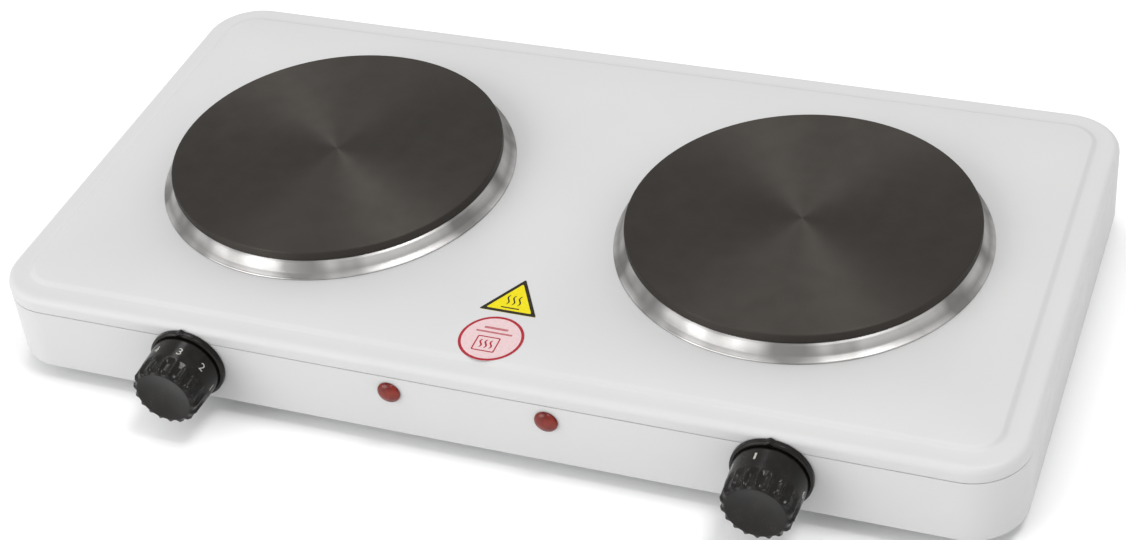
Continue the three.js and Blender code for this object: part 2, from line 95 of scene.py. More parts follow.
cover_low, cover_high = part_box("top_cover")
shell_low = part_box("base_shell")[0]
HALF_X = (cover_high.x - cover_low.x) / 2 / MM
HALF_Y = (cover_high.y - cover_low.y) / 2 / MM
CENTRE_Y = (cover_high.y + cover_low.y) / 2
PANEL_Z = cover_high.z
SEAM_Z = cover_low.z
FRONT_WALL_Y = cover_low.y
BODY_CENTRE = Vector((0, CENTRE_Y, 0))
CORNER = 25                       # plan radius of the casing's corners
GAP = 0.3                         # seam between the cover and the body wall
dial_axes = {j["child"]: Vector(j["pos_m"]) for j in frame["joints"]}


# ---- mesh helpers ---------------------------------------------------------------------------
def fillet(points, steps, closed=False):
    """Rounds the corners of a profile. A point is (x, y) or (x, y, radius)."""
    rounded = []
    for i, point in enumerate(points):
        radius = point[2] if len(point) > 2 else 0
        inside = closed or 0 < i < len(points) - 1
        if radius == 0 or not inside:
            rounded.append((point[0], point[1]))
            continue
        corner = Vector(point[:2])
        to_last = Vector(points[i - 1][:2]) - corner
        to_next = Vector(points[(i + 1) % len(points)][:2]) - corner
        reach = radius / math.tan(to_last.angle(to_next) / 2)
        reach = min(reach, 0.49 * to_last.length, 0.49 * to_next.length)
        first = corner + to_last.normalized() * reach
        last = corner + to_next.normalized() * reach
        for step in range(steps + 1):
            t = step / steps
            rounded.append(tuple((1 - t) ** 2 * first + 2 * t * (1 - t) * corner + t ** 2 * last))
    return rounded


def smoothed(mesh, sharp=SHARP_ANGLE):
    mesh.shade_smooth()
    mesh.set_sharp_from_angle(angle=math.radians(sharp))


def add_piece(name, vertices, faces, place, sharp=SHARP_ANGLE):
    """A smooth-shaded object from millimetre vertices, with its origin at place in metres."""
    mesh = bpy.data.meshes.new(name)
    mesh.from_pydata([Vector(v) * MM for v in vertices], [], faces)
    mesh.validate()
    smoothed(mesh, sharp)
    piece = bpy.data.objects.new(name, mesh)
    piece.location = place
    bpy.context.scene.collection.objects.link(piece)
    return piece


def ring_faces(rings, closed_profile=False):
    """Quads between rings of vertex numbers; a ring of one vertex is a pole."""
    faces = []
    pairs = list(zip(rings, rings[1:]))
    if closed_profile:
        pairs.append((rings[-1], rings[0]))
    for low, high in pairs:
        count = max(len(low), len(high))
        for j in range(count):
            k = (j + 1) % count
            if len(low) == 1:
                faces.append((low[0], high[k], high[j]))
            elif len(high) == 1:
                faces.append((low[j], low[k], high[0]))
            else:
                faces.append((low[j], low[k], high[k], high[j]))
    return faces


def turned(name, profile, place, segments, axis="Z", closed=False, warp=None, sharp=SHARP_ANGLE):
    """A lathe piece. The profile is (radius, height) pairs; warp(radius, height, angle) reshapes a ring.
    About Y the angle is counted from the top, clockwise as seen from the front."""
    vertices = []
    rings = []
    for radius, height in profile:
        if radius < POLE_RADIUS:
            rings.append([len(vertices)])
            vertices.append((0, 0, height) if axis == "Z" else (0, height, 0))
            continue
        ring = []
        for j in range(segments):
            angle = 2 * math.pi * j / segments
            r = warp(radius, height, angle) if warp else radius
            across, up = r * math.sin(angle), r * math.cos(angle)
            ring.append(len(vertices))
            vertices.append((up, across, height) if axis == "Z" else (across, height, up))
        rings.append(ring)
    return add_piece(name, vertices, ring_faces(rings, closed), place, sharp)


def applied(piece):
    """The piece with its modifiers made part of its mesh."""
    graph = bpy.context.evaluated_depsgraph_get()
    mesh = bpy.data.meshes.new_from_object(piece.evaluated_get(graph))
    piece.modifiers.clear()
    piece.data = mesh
    return piece


def drilled(piece, cutters, sharp=SHARP_ANGLE):
    """The piece with every cutter taken out of it."""
    for cutter in cutters:
        step = piece.modifiers.new("cut", "BOOLEAN")
        step.operation = "DIFFERENCE"
        step.solver = "EXACT"
        step.object = cutter
    applied(piece)
    smoothed(piece.data, sharp)
    for cutter in cutters:
        bpy.data.objects.remove(cutter)
    return piece


def flat_piece(name, loops, place, thickness, lift):
    """A thin flat piece from closed outlines in millimetres; inner outlines are holes."""
    curve = bpy.data.curves.new(name, "CURVE")
    curve.dimensions = "2D"
    curve.fill_mode = "BOTH"
    curve.extrude = thickness / 2 * MM
    for loop in loops:
        spline = curve.splines.new("POLY")
        spline.points.add(len(loop) - 1)
        for point, (x, y) in zip(spline.points, loop):
            point.co = (x * MM, y * MM, 0, 1)
        spline.use_cyclic_u = True
    source = bpy.data.objects.new(name + "_outline", curve)
    bpy.context.scene.collection.objects.link(source)
    graph = bpy.context.evaluated_depsgraph_get()
    mesh = bpy.data.meshes.new_from_object(source.evaluated_get(graph))
    bpy.data.objects.remove(source)
    mesh.transform(Matrix.Translation((0, 0, (lift + thickness / 2) * MM)))
    piece = bpy.data.objects.new(name, mesh)
    piece.location = place
    bpy.context.scene.collection.objects.link(piece)
    return piece


def circle_loop(radius, count=96):
    angles = [2 * math.pi * i / count for i in range(count)]
    return [(radius * math.cos(a), radius * math.sin(a)) for a in angles]


def finished(piece, body, slot, material, *nodes):
    """Gives a piece its material, its body and the CAD nodes it stands for; the slot argument is not used."""
    piece.data.materials.clear()
    piece.data.materials.append(material)
    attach(piece, body)
    if nodes:
        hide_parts(*nodes)
    return piece


# ---- material helpers -----------------------------------------------------------------------
QUARTER_TURN = 0.25               # of a whole turn, so that highlights stretch across the brush marks
WOBBLE_SIZE = 9                   # how far apart turning marks wander, in millimetres


class Shader:
    """A Principled material with the few nodes that every finish here is made of."""

    def __init__(self, name, color, roughness, metallic=0.0, **sockets):
        self.material = bpy.data.materials.new(name)
        self.material.use_nodes = True
        self.material.diffuse_color = (*color, 1)
        self.tree = self.material.node_tree
        self.nodes = self.tree.nodes
        self.shader = self.nodes["Principled BSDF"]
        self.put(self.shader, "Base Color", (*color, 1))
        self.put(self.shader, "Roughness", roughness)
        self.put(self.shader, "Metallic", metallic)
        for socket, value in sockets.items():
            self.put(self.shader, socket.replace("_", " ").title().replace("Ior", "IOR"), value)
        self.place = self.nodes.new("ShaderNodeTexCoord").outputs["Object"]

    def put(self, node, socket, value):
        node.inputs[socket].default_value = value

    def link(self, source, target):
        self.tree.links.new(source, target)

    def noise(self, size, detail=3.0, rough=0.5, stretch=(1, 1, 1)):
        """Noise with features about size millimetres wide."""
        mapping = self.nodes.new("ShaderNodeMapping")
        mapping.inputs["Scale"].default_value = stretch
        self.link(self.place, mapping.inputs["Vector"])
        node = self.nodes.new("ShaderNodeTexNoise")
        self.put(node, "Scale", 1 / (size * MM))
        self.put(node, "Detail", detail)
        self.put(node, "Roughness", rough)
        self.link(mapping.outputs["Vector"], node.inputs["Vector"])
        return node.outputs["Fac"]

    def cells(self, size):
        """Crystal-like cells about size millimetres wide, each with its own grey."""
        node = self.nodes.new("ShaderNodeTexVoronoi")
        self.put(node, "Scale", 1 / (size * MM))
        self.link(self.place, node.inputs["Vector"])
        grey = self.nodes.new("ShaderNodeRGBToBW")
        self.link(node.outputs["Color"], grey.inputs["Color"])
        return grey.outputs["Val"]

    def math(self, operation, first, second=0.0, third=0.0):
        node = self.nodes.new("ShaderNodeMath")
        node.operation = operation
        for socket, value in zip(node.inputs, (first, second, third)):
            if isinstance(value, (int, float)):
                socket.default_value = value
            else:
                self.link(value, socket)
        return node.outputs[0]

    def spread(self, source, low, high, from_low=0.3, from_high=0.7):
        node = self.nodes.new("ShaderNodeMapRange")
        self.link(source, node.inputs["Value"])
        for socket, value in (("From Min", from_low), ("From Max", from_high),
                              ("To Min", low), ("To Max", high)):
            self.put(node, socket, value)
        return node.outputs["Result"]

    def radius(self, first="X", second="Y"):
        """Distance from the piece's own axis, in metres."""
        split = self.nodes.new("ShaderNodeSeparateXYZ")
        self.link(self.place, split.inputs["Vector"])
        squares = [self.math("MULTIPLY", split.outputs[a], split.outputs[a]) for a in (first, second)]
        return self.math("SQRT", self.math("ADD", *squares))

    def rings(self, pitch, wobble=0.0):
        """Turning marks: rings pitch millimetres apart about the piece's Z axis."""
        distance = self.radius()
        if wobble:
            distance = self.math("MULTIPLY_ADD", self.noise(WOBBLE_SIZE, 2), wobble * MM, distance)
        return self.math("SINE", self.math("MULTIPLY", distance, 2 * math.pi / (pitch * MM)))

    def tint(self, factor, low, high):
        """Base colour that varies between two colours."""
        node = self.nodes.new("ShaderNodeMix")
        node.data_type = "RGBA"
        self.link(factor, node.inputs["Factor"])
        node.inputs["A"].default_value = (*low, 1)
        node.inputs["B"].default_value = (*high, 1)
        self.link(node.outputs["Result"], self.shader.inputs["Base Color"])
        return node.outputs["Result"]

    def rough(self, source, low, high):
        self.link(self.spread(source, low, high), self.shader.inputs["Roughness"])

    def bump(self, source, depth):
        """Relief of depth millimetres, laid over any relief made before it."""
        node = self.nodes.new("ShaderNodeBump")
        self.put(node, "Strength", 1.0)
        self.put(node, "Distance", depth * MM)
        self.link(source, node.inputs["Height"])
        normal = self.shader.inputs["Normal"]
        if normal.is_linked:
            self.link(normal.links[0].from_socket, node.inputs["Normal"])
        self.link(node.outputs["Normal"], normal)

    def brushed(self, amount):
        """Brush marks that run round the piece's Z axis, so that highlights stretch across them."""
        tangent = self.nodes.new("ShaderNodeTangent")
        tangent.direction_type = "RADIAL"
        tangent.axis = "Z"
        self.link(tangent.outputs["Tangent"], self.shader.inputs["Tangent"])
        self.put(self.shader, "Anisotropic", amount)
        self.put(self.shader, "Anisotropic Rotation", QUARTER_TURN)


# In every finish below, noise and cell sizes, ring pitches and relief depths are in millimetres,
# and tint and rough are followed by the two ends of the range that the colour or roughness keeps to.
def enamel():
    s = Shader("white_enamel", (0.505, 0.505, 0.505), 0.5, specular_ior_level=0.35)
    s.tint(s.spread(s.noise(60, 2), 0, 1), (0.500, 0.501, 0.502), (0.511, 0.511, 0.509))
    s.rough(s.noise(18, 4), 0.42, 0.54)
    s.bump(s.noise(2.6, 2), 0.004)
    s.bump(s.noise(0.5, 2), 0.0008)
    return s.material


def cast_iron():
    s = Shader("cast_iron_plate", (0.052, 0.047, 0.042), 0.53, metallic=0.9, specular_ior_level=0.3)
    s.tint(s.spread(s.noise(22, 4), 0, 1), (0.0515, 0.0460, 0.0413), (0.0575, 0.0515, 0.0463))
    s.rough(s.noise(9, 3), 0.53, 0.60)
    s.bump(s.rings(0.55, 0.15), 0.0012)
    s.brushed(0.80)
    return s.material


def spun_steel():
    hollow_radius, hollow_width, hollow_painted_shade = 80.4, 1.6, 0.45
    s = Shader("brushed_ring", (0.45, 0.445, 0.435), 0.3, metallic=1.0)
    streaks = s.spread(s.noise(24, 2, stretch=(1, 1, 0)), 0, 1, 0.40, 0.60)
    # Painted shade: the ring's colour is darkened along its hollow, between the collar and the outer lip.
    hollow = s.math("ABSOLUTE", s.math("SUBTRACT", s.radius(), hollow_radius * MM))
    shade = s.math("MULTIPLY", streaks, s.spread(hollow, hollow_painted_shade, 1, 0, hollow_width * MM))
    s.tint(shade, (0.24, 0.234, 0.228), (0.52, 0.512, 0.503))
    s.rough(s.noise(6, 3), 0.36, 0.46)
    s.bump(s.rings(0.3), 0.0008)
    s.brushed(0.6)
    return s.material


def black_plastic():
    s = Shader("black_plastic", (0.008, 0.007, 0.0063), 0.24, specular_ior_level=0.2)
    s.tint(s.spread(s.noise(6, 3), 0, 1), (0.005, 0.0042, 0.0038), (0.010, 0.0086, 0.0076))
    s.rough(s.noise(3, 4), 0.16, 0.28)
    s.bump(s.noise(0.4, 2), 0.004)
    return s.material


def number_paint():
    s = Shader("number_paint", (0.42, 0.41, 0.39), 0.5)
    s.tint(s.spread(s.noise(0.8, 3), 0, 1), (0.27, 0.26, 0.24), (0.43, 0.42, 0.39))
    s.bump(s.noise(0.2, 2), 0.004)
    return s.material


def lamp_plastic():
    s = Shader("amber_lens", (0.20, 0.010, 0.004), 0.10, specular_ior_level=0.35,
               transmission_weight=0.3, ior=1.49)
    s.tint(s.spread(s.noise(4, 2), 0, 1), (0.13, 0.004, 0.002), (0.27, 0.018, 0.005))
    s.rough(s.noise(2, 3), 0.06, 0.13)
    s.bump(s.noise(1.2, 2), 0.010)
    return s.material


def rubber():
    s = Shader("black_rubber", (0.02, 0.02, 0.02), 0.75)
    s.tint(s.spread(s.noise(2, 4), 0, 1), (0.015, 0.015, 0.015), (0.032, 0.031, 0.030))
    s.rough(s.noise(1, 3), 0.65, 0.85)
    s.bump(s.noise(0.25, 3), 0.02)
    return s.material


def galvanised():
    s = Shader("galvanised_sheet", (0.42, 0.43, 0.44), 0.4, metallic=0.9)
    s.tint(s.cells(7), (0.36, 0.37, 0.38), (0.50, 0.51, 0.52))
    s.rough(s.cells(5), 0.33, 0.48)
    s.bump(s.noise(1.5, 3), 0.006)
    return s.material


def zinc():
    s = Shader("plated_fastener", (0.45, 0.45, 0.44), 0.3, metallic=1.0)
    s.tint(s.spread(s.noise(2, 3), 0, 1), (0.38, 0.38, 0.37), (0.52, 0.52, 0.50))
    s.rough(s.noise(0.8, 3), 0.24, 0.42)
    s.bump(s.noise(0.3, 2), 0.004)
    return s.material


def speckled(name, low, high, roughness, size, relief, metallic=0.0):
    roughness_range = 0.06
    s = Shader(name, low, roughness, metallic=metallic)
    s.tint(s.spread(s.noise(size, 4), 0, 1), low, high)
    s.rough(s.noise(size / 2, 3), roughness - roughness_range, roughness + roughness_range)
    s.bump(s.noise(size / 3, 3), relief)
    return s.material


def glass():
    s = Shader("bulb_glass", (0.95, 0.85, 0.78), 0.05, transmission_weight=1.0, ior=1.5)
    s.rough(s.noise(2, 2), 0.03, 0.08)
    s.bump(s.noise(2, 2), 0.003)
    return s.material


def printed(name, low, high):
    s = Shader(name, low, 0.45, specular_ior_level=0.1)
    s.tint(s.spread(s.noise(1.5, 3), 0, 1), low, high)
    s.rough(s.noise(4, 3), 0.36, 0.5)
    s.bump(s.noise(0.8, 2), 0.003)
    return s.material


MATERIALS = {
    "white_enamel": enamel(),
    "cast_iron_plate": cast_iron(),
    "brushed_ring": spun_steel(),
    "black_plastic": black_plastic(),
    "amber_lens": lamp_plastic(),
    "black_rubber": rubber(),
    "galvanised_sheet": galvanised(),
    "plated_fastener": zinc(),
    "coil_sheath": speckled("coil_sheath", (0.10, 0.09, 0.08), (0.18, 0.15, 0.13), 0.5, 3, 0.01, 0.8),
    "mineral_fibre": speckled("mineral_fibre", (0.55, 0.51, 0.42), (0.70, 0.66, 0.57), 0.9, 2, 0.08),
    "ceramic_body": speckled("ceramic_body", (0.68, 0.63, 0.53), (0.78, 0.74, 0.65), 0.55, 3, 0.01),
    "brass_shaft": speckled("brass_shaft", (0.52, 0.36, 0.14), (0.64, 0.46, 0.20), 0.32, 2, 0.003, 1.0),
    "bulb_glass": glass(),
    "lead_red": speckled("lead_red", (0.34, 0.03, 0.02), (0.44, 0.05, 0.04), 0.5, 4, 0.01),
    "lead_grey": speckled("lead_grey", (0.46, 0.44, 0.40), (0.60, 0.58, 0.54), 0.8, 1, 0.05),
    "lead_blue": speckled("lead_blue", (0.02, 0.06, 0.24), (0.04, 0.09, 0.32), 0.5, 4, 0.01),
    "label_yellow": printed("label_yellow", (0.60, 0.510, 0.004), (0.66, 0.565, 0.010)),
    "label_white": printed("label_white", (0.57, 0.415, 0.425), (0.61, 0.465, 0.475)),
}
BLACK_INK = printed("black_ink", (0.012, 0.010, 0.007), (0.028, 0.024, 0.014))
RED_INK = printed("red_ink", (0.27, 0.014, 0.024), (0.35, 0.026, 0.038))
PALE_INK = printed("pale_red_ink", (0.34, 0.10, 0.11), (0.42, 0.15, 0.16))
NUMBER_PAINT = number_paint()


# ---- casing ---------------------------------------------------------------------------------
COVER_SHEET = 0.8                 # thickness of the cover
VENT_START = 70                   # first rear slot from the middle
VENT_PITCH = 9
VENT_COUNT = 6                    # on each side
VENT_Z = 24
VENT_WIDTH = 3
VENT_HEIGHT = 14
VENT_CUT = 6                      # reach of a slot's cutter either side of the wall
DIAL_HOLE = 5.6                   # radii of the round holes in the body wall
LAMP_HOLE = 4.7
GLAND_HOLE = 6.3


def half_outline(side_steps=14, end_steps=10, corner_steps=14):
    """The right half of the casing's plan, anticlockwise from the front middle to the back middle.
    Each entry is a point of the straight core and the outward direction there."""
    core_x = HALF_X - CORNER
    core_y = HALF_Y - CORNER
    entries = []
    for i in range(side_steps):
        entries.append((core_x * i / side_steps, -core_y, 0, -1))
    for i in range(corner_steps):
        angle = -math.pi / 2 + math.pi / 2 * i / corner_steps
        entries.append((core_x, -core_y, math.cos(angle), math.sin(angle)))
    for i in range(end_steps):
        entries.append((core_x, core_y * (2 * i / end_steps - 1), 1, 0))
    for i in range(corner_steps):
        angle = math.pi / 2 * i / corner_steps
        entries.append((core_x, core_y, math.cos(angle), math.sin(angle)))
    for i in range(side_steps + 1):
        entries.append((core_x * (1 - i / side_steps), core_y, 0, 1))
    return entries


RIGHT_HALF = half_outline()
WHOLE_OUTLINE = RIGHT_HALF + [(-x, y, -nx, ny) for x, y, nx, ny in reversed(RIGHT_HALF[1:-1])]


def outline_point(entry, inset, z):
    x, y, nx, ny = entry
    reach = CORNER - inset
    return (x + nx * reach, y + ny * reach, z)


def swept(profile):
    """The vertices and rings of a profile of (inset, height) pairs carried round the casing's plan."""
    vertices = []
    rings = []
    for inset, z in profile:
        rings.append([len(vertices) + i for i in range(len(WHOLE_OUTLINE))])
        vertices += [outline_point(entry, inset, z) for entry in WHOLE_OUTLINE]
    return vertices, rings


def eased(t):
    """A step from 0 to 1 that starts and ends level."""
    return t * t * (3 - 2 * t)


def cover_profile():
    """(inset from the wall, height from the panel), from the panel's edge out and down the skirt."""
    step_top, step_foot, step_drop = 13.0, 9.8, 1.4
    edge = 3.2                    # rounding between the rim and the skirt
    steps = 8
    profile = []
    for i in range(steps + 1):
        t = i / steps
        profile.append((step_top + (step_foot - step_top) * t, -step_drop * eased(t)))
    profile += [(6.5, -step_drop - 0.02), (4.2, -step_drop - 0.03)]
    for i in range(steps + 1):
        angle = math.pi / 2 * i / steps
        profile.append((edge * (1 - math.sin(angle)), -step_drop - 0.05 - edge * (1 - math.cos(angle))))
    hem = (SEAM_Z - PANEL_Z) / MM
    profile += [(0, hem + 2), (0, hem + 0.45), (0.08, hem + 0.15), (0.3, hem)]
    return profile


def top_cover():
    """The pressed panel: two plate openings, a stepped rim and a rolled skirt."""
    opening = 77.0
    plate_x = centre_of("hotplate_right").x / MM
    vertices, rings = swept(cover_profile())
    faces = [tuple(reversed(face)) for face in ring_faces(rings)]

    # The panel inside the rim is one loop for each opening, and the two loops share a spine.
    half_count = len(RIGHT_HALF)
    front_middle = rings[0][0]
    back_middle = rings[0][half_count - 1]
    front_y = vertices[front_middle][1]
    middle_steps = 12
    spine = [back_middle]
    for i in range(1, middle_steps):
        spine.append(len(vertices))
        vertices.append((0, -front_y * (1 - 2 * i / middle_steps), 0))
    spine.append(front_middle)

    for side in (1, -1):
        if side > 0:
            edge = rings[0][:half_count]
        else:
            edge = [front_middle] + list(reversed(rings[0][half_count:])) + [back_middle]
        loop = edge + spine[1:-1]
        around = []
        for drop, radius in ((0, opening + 0.8), (-0.3, opening + 0.2), (-1.0, opening)):
            start = len(vertices)
            for index in loop:
                x, y, _ = vertices[index]
                angle = math.atan2(y, x - side * plate_x)
                vertices.append((side * plate_x + radius * math.cos(angle), radius * math.sin(angle), drop))
            around.append(list(range(start, start + len(loop))))
        panel = ring_faces([loop] + around)
        faces += panel if side > 0 else [tuple(reversed(face)) for face in panel]

    place = Vector((0, CENTRE_Y, PANEL_Z))
    cover = add_piece("enamel_cover", vertices, faces, place)
    sheet = cover.modifiers.new("sheet", "SOLIDIFY")
    sheet.thickness = COVER_SHEET * MM
    sheet.offset = -1
    applied(cover)
    smoothed(cover.data)
    return finished(cover, "chassis", "white_enamel", MATERIALS["white_enamel"], "top_cover")


def slot_cutter(x, y, z, width, height, depth):
    """A round-ended upright slot through a wall that faces Y."""
    steps = 8
    loop = []
    for top in (1, -1):
        for i in range(steps + 1):
            angle = math.pi * i / steps if top > 0 else math.pi * (1 + i / steps)
            loop.append((x + width / 2 * math.cos(angle),
                         z + top * (height - width) / 2 + width / 2 * math.sin(angle)))
    count = len(loop)
    vertices = [(u, y - depth, w) for u, w in loop] + [(u, y + depth, w) for u, w in loop]
    faces = [(count + i, count + (i + 1) % count, (i + 1) % count, i) for i in range(count)]
    faces += [tuple(range(count)), tuple(reversed(range(count, 2 * count)))]
    return add_piece("cutter", vertices, faces, BODY_CENTRE)


def hole_cutter(place, radius, depth=8):
    profile = [(0, -depth), (radius, -depth), (radius, depth), (0, depth)]
    return turned("cutter", profile, place, 64, axis="Y")


def body_shell():
    """The body wall: one folded band with a hem below and a lip that nests in the cover."""
    low = shell_low.z / MM
    seam = SEAM_Z / MM - GAP
    bead = seam + 0.22            # fills the seam behind its edge
    lip = seam + 5
    vertices, rings = swept([
        (1.0, low + 0.3), (0.7, low), (0.35, low + 0.02), (0.1, low + 0.2), (0, low + 0.6),
        (0, seam - 0.45), (0.06, seam - 0.1), (0.2, seam), (0.5, seam), (0.5, bead), (1.35, bead),
        (1.35, lip), (2.2, lip), (2.2, seam - 2), (1.0, seam - 3),
    ])
    shell = add_piece("enamel_shell", vertices, ring_faces(rings, closed_profile=True), BODY_CENTRE)

    cutters = []
    for side in SIDES.values():
        for i in range(VENT_COUNT):
            x = side * (VENT_START + VENT_PITCH * i)
            cutters.append(slot_cutter(x, HALF_Y, VENT_Z, VENT_WIDTH, VENT_HEIGHT, VENT_CUT))
    for name in SIDES:
        cutters.append(hole_cutter(dial_axes[f"dial_{name}"], DIAL_HOLE))
        lens = centre_of(f"lamp_lens_{name}")
        cutters.append(hole_cutter((lens.x, FRONT_WALL_Y, lens.z), LAMP_HOLE))
    gland = centre_of("cord_gland")
    cutters.append(hole_cutter((gland.x, cover_high.y, gland.z), GLAND_HOLE))
    drilled(shell, cutters)
    return finished(shell, "chassis", "white_enamel", MATERIALS["white_enamel"], "base_shell")


# ---- hot plates -----------------------------------------------------------------------------
PLATE_SEGMENTS = 256


def hotplate(name):
    """A plate with a hollow underside, a foot inside the ring and a rim that covers the ring's collar."""
    low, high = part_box(f"hotplate_{name}")
    place = Vector((centre_of(f"hotplate_{name}").x, CENTRE_Y, PANEL_Z))
    radius = (high.x - low.x) / 2 / MM
    top = (high.z - PANEL_Z) / MM
    underside, hollow, foot, foot_z = 5, 71, 75.5, -2
    rim = top - 4.4
    profile = fillet([
        (0, underside), (hollow, underside, 0.6), (hollow, foot_z, 0.5), (foot, foot_z, 0.5),
        (foot, rim, 0.3), (radius, rim, 0.5), (radius, top, 0.9), (radius - 6, top), (0, top),
    ], 6)
    plate = turned(f"iron_plate_{name}", profile, place, PLATE_SEGMENTS)
    return finished(plate, "chassis", "cast_iron_plate", MATERIALS["cast_iron_plate"], f"hotplate_{name}")


def spill_ring(name):
    """A spun ring: a collar under the plate's rim, a slope, a hollow and an outer lip on the panel."""
    low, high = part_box(f"spill_ring_{name}")
    place = Vector((centre_of(f"spill_ring_{name}").x, CENTRE_Y, PANEL_Z))
    radius = (high.x - low.x) / 2 / MM
    collar = 75.8
    profile = fillet([
        (collar, -2.4), (collar + 0.6, -2.4), (collar + 0.6, 5.3, 0.5), (79.6, 1.5, 1.5),
        (81.4, 0.20, 0.5), (radius - 0.2, 0.10, 0.1), (radius, 0.30, 0.12), (radius - 0.3, 0.65, 0.2),
        (82.0, 0.85, 0.3), (80.2, 2.1, 2.2), (78.1, 5.9, 0.8), (77.2, 6.7, 0.25), (collar, 6.7, 0.2),
    ], 4, closed=True)
    ring = turned(f"steel_ring_{name}", profile, place, PLATE_SEGMENTS, closed=True, sharp=55)
    return finished(ring, "chassis", "brushed_ring", MATERIALS["brushed_ring"], f"spill_ring_{name}")


# ---- dials ----------------------------------------------------------------------------------
FLUTES = 18
FLUTE_DEPTH = 1.15
FLUTE_FADE = 1.4                  # length over which the flutes run out into the skirt
RIB_SHARPNESS = 2.2
SKIRT = 12.5                      # plain part of the knob that carries the numbers
SKIRT_RADIUS = 16.0               # at the knob's back
SKIRT_TAPER = 0.03
KNOB_CORE = 13.2                  # radius inside which the knob is round and hollow
CORE_FADE = 0.9                   # width over which the flutes deepen outside the core
KNOB_EDGE = 15.5                  # radius where the knob's sides turn in at both ends
KNOB_CAVITY = 11                  # depth of the hollow in the knob's back
DISH = 1.5                        # hollow of the knob's face at its centre
EDGE_DEPTH = 2.2                  # from the knob's front to the end of its rounded edge
SHARP_MOULDING = 50               # edge angle of moulded pieces
BEZEL_BORE = 9.2
BEZEL_FRONT = -2.6
BEZEL_BACK = -0.3
BEZEL_RADIUS = 17.6
PIP_START = 16.4                  # radius at which the bezel's pointer begins
PIP_HEIGHT = 0.95
PIP_SPREAD = 0.11                 # half its width, in radians
PRINT_RELIEF = 0.08               # half the thickness of the raised numbers
NUMBER_SIZE = 5.4
NUMBER_DEPTH = 7.3                # centre of a number, in front of the knob's back
BAR_SIZE = (0.9, 3.4)
BAR_DEPTH = 5.4
MARK_STEP = 43                    # degrees between two marks
MARKS = ["off", "1", "2", "3", "4", "5", "6"]
# Where the off bar stands at rest, in degrees clockwise from the pointer.
OFF_ANGLE = {"left": 144, "right": -15}


def knob_shape(radius, height, angle):
    """Scallops between sharp ribs, fading out where the skirt begins."""
    if radius < KNOB_CORE or height > -SKIRT:
        return radius
    fade = eased(min(1, (-height - SKIRT) / FLUTE_FADE))
    edge = min(1, (radius - KNOB_CORE) / CORE_FADE)
    rib = (0.5 + 0.5 * math.cos(FLUTES * angle)) ** RIB_SHARPNESS
    return radius - FLUTE_DEPTH * fade * edge * (1 - rib)


def skirt_radius(depth):
    """Radius of the plain skirt, depth millimetres in front of the knob's back."""
    return SKIRT_RADIUS - SKIRT_TAPER * depth


def dial_knob(name):
    """A knob with a dished face, a fluted grip, a plain skirt and a socket for its shaft."""
    low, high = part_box(f"dial_knob_{name}")
    axis = dial_axes[f"dial_{name}"]
    place = Vector((axis.x, high.y, axis.z))
    length = (high.y - low.y) / MM
    face = [
        (0, -length + DISH), (3, -length + 1.42), (6, -length + 1.17), (9, -length + 0.72),
        (11.4, -length + 0.24), (12.7, -length, 0.6), (14.6, -length + 0.5, 0.9),
    ]
    grip = [(KNOB_EDGE, -length + EDGE_DEPTH)]
    steps = 14
    for i in range(1, steps):
        depth = (length - EDGE_DEPTH) * (1 - i / steps)
        grip.append((skirt_radius(depth), -depth))
    hub, hub_back, socket, socket_end = 6, -1.5, 3.4, -15
    back = [
        (skirt_radius(0.5), -0.6), (KNOB_EDGE, -0.02, 0.2), (KNOB_CORE, -0.02, 0.2),
        (KNOB_CORE, -KNOB_CAVITY), (hub, -KNOB_CAVITY), (hub, hub_back), (socket, hub_back),
        (socket, socket_end), (0, socket_end),
    ]
    profile = fillet(face + grip + back, 4)
    knob = turned(f"knob_{name}", profile, place, FLUTES * 16, axis="Y", warp=knob_shape,
                  sharp=SHARP_MOULDING)
    return finished(knob, f"dial_{name}", "black_plastic", MATERIALS["black_plastic"], f"dial_knob_{name}")


def glyph_mesh(text, size):
    """A number as a solid, centred, in metres."""
    font = bpy.data.curves.new("number", "FONT")
    font.body = text
    font.size = size * MM
    font.align_x = "CENTER"
    font.align_y = "CENTER"
    font.extrude = PRINT_RELIEF * MM
    font.resolution_u = 6
    source = bpy.data.objects.new("number", font)
    bpy.context.scene.collection.objects.link(source)
    graph = bpy.context.evaluated_depsgraph_get()
    mesh = bpy.data.meshes.new_from_object(source.evaluated_get(graph))
    bpy.data.objects.remove(source)
    return mesh


def bar_mesh(width, height):
    """A plain bar as a solid, centred, in metres."""
    x, y, z = width / 2 * MM, height / 2 * MM, PRINT_RELIEF * MM
    mesh = bpy.data.meshes.new("bar")
    corners = [(sx * x, sy * y, sz * z) for sz in (-1, 1) for sy in (-1, 1) for sx in (-1, 1)]
    mesh.from_pydata(corners, [], BOX_FACES)
    return mesh


